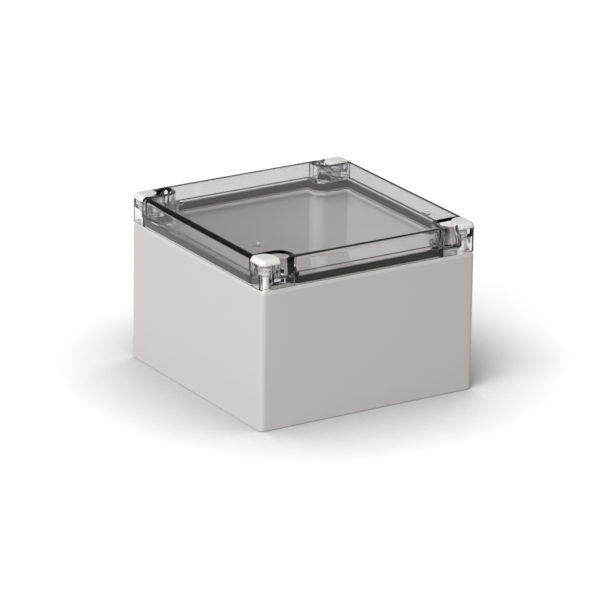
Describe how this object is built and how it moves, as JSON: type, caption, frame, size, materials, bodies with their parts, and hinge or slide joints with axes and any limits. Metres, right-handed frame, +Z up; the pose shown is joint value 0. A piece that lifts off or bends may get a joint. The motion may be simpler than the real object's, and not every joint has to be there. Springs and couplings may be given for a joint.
{
  "type": "hinged enclosure",
  "caption": "Shallow rectangular plastic enclosure with a clear hinged cover, a seal round its rim, and a quarter-turn screw under a lift-off cap at each corner.",
  "frame": {"origin": "middle of the base's underside", "axes": "+Z up out of the base, through the cover; +Y towards the hinged side; +X to the right seen from the side opposite the hinges"},
  "size_m": [0.12, 0.1299, 0.085],
  "materials": {
    "base_grey": "satin",
    "clear_smoke": "clear, smoke tinted",
    "seal_black": "matte",
    "cap_grey": "satin",
    "screw_grey": "satin",
    "spring_steel": "bright",
    "steel_pin": "drawn",
    "brass": "machined"
  },
  "bodies": {
    "base": {"base_shell": "base_grey", "hinge_pin_left": "steel_pin", "hinge_pin_right": "steel_pin", "plate_insert_front_left": "brass", "plate_insert_front_right": "brass", "plate_insert_back_left": "brass", "plate_insert_back_right": "brass"},
    "cover": {"cover": "clear_smoke", "gasket": "seal_black"},
    "screw_front_left": {"cover_screw_front_left": "clear_smoke", "retaining_ring_front_left": "spring_steel"},
    "cap_front_left": {"corner_cap_front_left": "cap_grey"},
    "screw_front_right": {"cover_screw_front_right": "clear_smoke", "retaining_ring_front_right": "spring_steel"},
    "cap_front_right": {"corner_cap_front_right": "cap_grey"},
    "screw_back_left": {"cover_screw_back_left": "clear_smoke", "retaining_ring_back_left": "spring_steel"},
    "cap_back_left": {"corner_cap_back_left": "cap_grey"},
    "screw_back_right": {"cover_screw_back_right": "clear_smoke", "retaining_ring_back_right": "spring_steel"},
    "cap_back_right": {"corner_cap_back_right": "cap_grey"}
  },
  "joints": [
    {"name": "cover_hinge", "type": "hinge", "parent": "base", "child": "cover", "pos_m": [0, 0.0652, 0.0686], "axis": [-1, 0, 0], "range_deg": [0, 180]},
    {"name": "screw_turn_front_left", "type": "hinge", "parent": "cover", "child": "screw_front_left", "pos_m": [-0.0545, -0.0555, 0.0775], "axis": [0, 0, -1], "range_deg": [0, 90]},
    {"name": "cap_lift_front_left", "type": "slide", "parent": "cover", "child": "cap_front_left", "axis": [0, 0, 1], "range_m": [0, 0.01]},
    {"name": "screw_turn_front_right", "type": "hinge", "parent": "cover", "child": "screw_front_right", "pos_m": [0.0545, -0.0555, 0.0775], "axis": [0, 0, 1], "range_deg": [0, 90]},
    {"name": "cap_lift_front_right", "type": "slide", "parent": "cover", "child": "cap_front_right", "axis": [0, 0, 1], "range_m": [0, 0.01]},
    {"name": "screw_turn_back_left", "type": "hinge", "parent": "cover", "child": "screw_back_left", "pos_m": [-0.0545, 0.0555, 0.0775], "axis": [0, 0, 1], "range_deg": [0, 90]},
    {"name": "cap_lift_back_left", "type": "slide", "parent": "cover", "child": "cap_back_left", "axis": [0, 0, 1], "range_m": [0, 0.01]},
    {"name": "screw_turn_back_right", "type": "hinge", "parent": "cover", "child": "screw_back_right", "pos_m": [0.0545, 0.0555, 0.0775], "axis": [0, 0, -1], "range_deg": [0, 90]},
    {"name": "cap_lift_back_right", "type": "slide", "parent": "cover", "child": "cap_back_right", "axis": [0, 0, 1], "range_m": [0, 0.01]}
  ]
}
